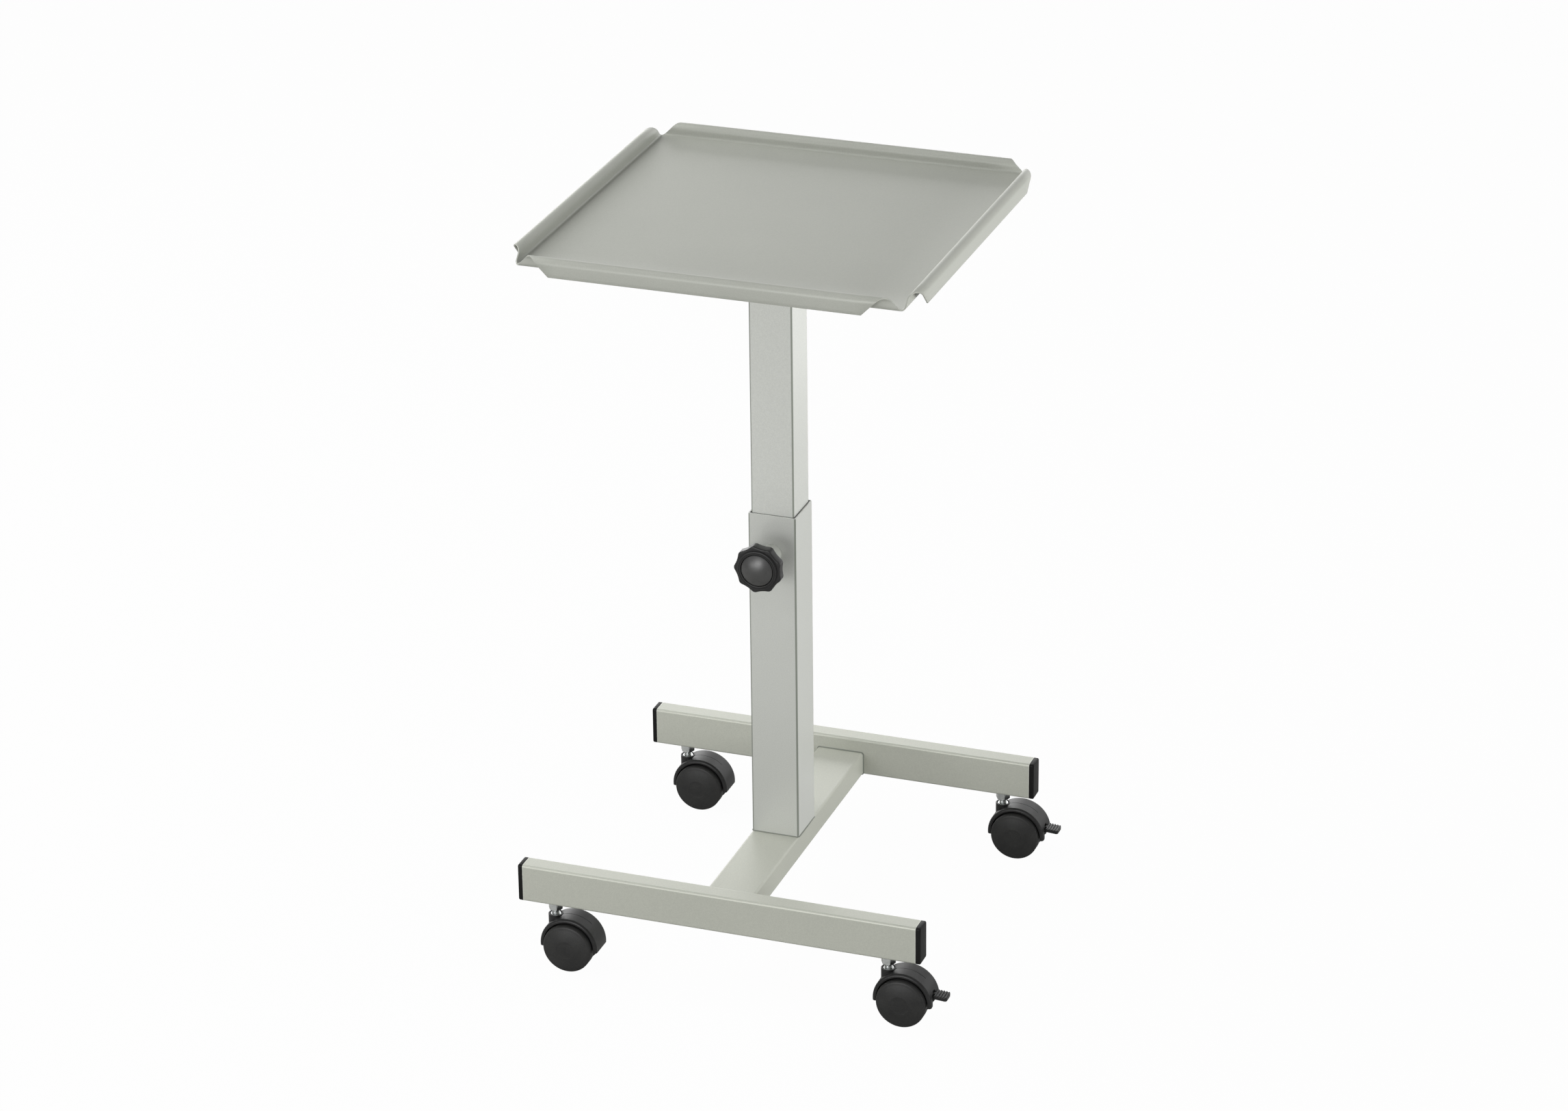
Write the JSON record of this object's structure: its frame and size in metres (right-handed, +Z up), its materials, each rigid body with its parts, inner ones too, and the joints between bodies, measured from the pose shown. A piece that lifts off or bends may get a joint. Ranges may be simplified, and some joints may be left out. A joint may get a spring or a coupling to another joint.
{
  "type": "portable projector stand",
  "caption": "Square sheet tray with rolled rims on a clamped sliding mast, over an H-shaped tube base with swivelling twin-wheel castors, some braked.",
  "frame": {"origin": "on the floor, under the middle of the column", "axes": "+Z up along the mast, +X along the legs towards the braked castors, -Y to the front, where the clamp knob is"},
  "size_m": [0.4501, 0.4198, 0.7622],
  "materials": {
    "silver_paint": "satin silver-grey powder coat",
    "black_plastic": "moulded charcoal black, fine texture",
    "wheel_plastic": "moulded charcoal black, satin",
    "zinc_steel": "bright zinc plate"
  },
  "bodies": {
    "base": {"front_leg": "silver_paint", "rear_leg": "silver_paint", "cross_bar": "silver_paint", "lower_column": "silver_paint", "clamp_boss": "silver_paint", "cap_front_left": "black_plastic", "stem_front_left": "zinc_steel", "cap_front_right": "black_plastic", "stem_front_right": "zinc_steel", "cap_rear_left": "black_plastic", "stem_rear_left": "zinc_steel", "cap_rear_right": "black_plastic", "stem_rear_right": "zinc_steel"},
    "mast": {"upper_column": "silver_paint", "tray_plate": "silver_paint", "tray": "silver_paint"},
    "clamp_knob": {"knob": "black_plastic", "knob_cap": "black_plastic", "clamp_screw": "zinc_steel"},
    "castor_front_left": {"hood_front_left": "black_plastic", "axle_front_left": "zinc_steel"},
    "wheel_front_left_front": {"wheel_front_left_front": "wheel_plastic"},
    "wheel_front_left_back": {"wheel_front_left_back": "wheel_plastic"},
    "castor_front_right": {"hood_front_right": "black_plastic", "axle_front_right": "zinc_steel"},
    "wheel_front_right_front": {"wheel_front_right_front": "wheel_plastic"},
    "wheel_front_right_back": {"wheel_front_right_back": "wheel_plastic"},
    "pedal_front_right": {"pedal_front_right": "black_plastic"},
    "castor_rear_left": {"hood_rear_left": "black_plastic", "axle_rear_left": "zinc_steel"},
    "wheel_rear_left_front": {"wheel_rear_left_front": "wheel_plastic"},
    "wheel_rear_left_back": {"wheel_rear_left_back": "wheel_plastic"},
    "castor_rear_right": {"hood_rear_right": "black_plastic", "axle_rear_right": "zinc_steel"},
    "wheel_rear_right_front": {"wheel_rear_right_front": "wheel_plastic"},
    "wheel_rear_right_back": {"wheel_rear_right_back": "wheel_plastic"},
    "pedal_rear_right": {"pedal_rear_right": "black_plastic"}
  },
  "joints": [
    {"name": "mast_slide", "type": "slide", "parent": "base", "child": "mast", "axis": [0, 0, 1], "range_m": [-0.2, 0.06]},
    {"name": "knob_turn", "type": "hinge", "parent": "base", "child": "clamp_knob", "pos_m": [0, -0.062, 0.405], "axis": [0, -1, 0], "range_deg": [0, 360]},
    {"name": "swivel_front_left", "type": "hinge", "parent": "base", "child": "castor_front_left", "pos_m": [-0.176, -0.1875, 0.0255], "axis": [0, 0, 1], "continuous": true},
    {"name": "roll_front_left_front", "type": "hinge", "parent": "castor_front_left", "child": "wheel_front_left_front", "pos_m": [-0.158, -0.1875, 0.0255], "axis": [0, 1, 0], "continuous": true},
    {"name": "roll_front_left_back", "type": "hinge", "parent": "castor_front_left", "child": "wheel_front_left_back", "pos_m": [-0.158, -0.1875, 0.0255], "axis": [0, 1, 0], "continuous": true},
    {"name": "swivel_front_right", "type": "hinge", "parent": "base", "child": "castor_front_right", "pos_m": [0.176, -0.1875, 0.0255], "axis": [0, 0, 1], "continuous": true},
    {"name": "roll_front_right_front", "type": "hinge", "parent": "castor_front_right", "child": "wheel_front_right_front", "pos_m": [0.194, -0.1875, 0.0255], "axis": [0, 1, 0], "continuous": true},
    {"name": "roll_front_right_back", "type": "hinge", "parent": "castor_front_right", "child": "wheel_front_right_back", "pos_m": [0.194, -0.1875, 0.0255], "axis": [0, 1, 0], "continuous": true},
    {"name": "brake_front_right", "type": "hinge", "parent": "castor_front_right", "child": "pedal_front_right", "pos_m": [0.208, -0.1875, 0.0335], "axis": [0, 1, 0], "range_deg": [0, 15]},
    {"name": "swivel_rear_left", "type": "hinge", "parent": "base", "child": "castor_rear_left", "pos_m": [-0.176, 0.1875, 0.0255], "axis": [0, 0, 1], "continuous": true},
    {"name": "roll_rear_left_front", "type": "hinge", "parent": "castor_rear_left", "child": "wheel_rear_left_front", "pos_m": [-0.158, 0.1875, 0.0255], "axis": [0, 1, 0], "continuous": true},
    {"name": "roll_rear_left_back", "type": "hinge", "parent": "castor_rear_left", "child": "wheel_rear_left_back", "pos_m": [-0.158, 0.1875, 0.0255], "axis": [0, 1, 0], "continuous": true},
    {"name": "swivel_rear_right", "type": "hinge", "parent": "base", "child": "castor_rear_right", "pos_m": [0.176, 0.1875, 0.0255], "axis": [0, 0, 1], "continuous": true},
    {"name": "roll_rear_right_front", "type": "hinge", "parent": "castor_rear_right", "child": "wheel_rear_right_front", "pos_m": [0.194, 0.1875, 0.0255], "axis": [0, 1, 0], "continuous": true},
    {"name": "roll_rear_right_back", "type": "hinge", "parent": "castor_rear_right", "child": "wheel_rear_right_back", "pos_m": [0.194, 0.1875, 0.0255], "axis": [0, 1, 0], "continuous": true},
    {"name": "brake_rear_right", "type": "hinge", "parent": "castor_rear_right", "child": "pedal_rear_right", "pos_m": [0.208, 0.1875, 0.0335], "axis": [0, 1, 0], "range_deg": [0, 15]}
  ]
}
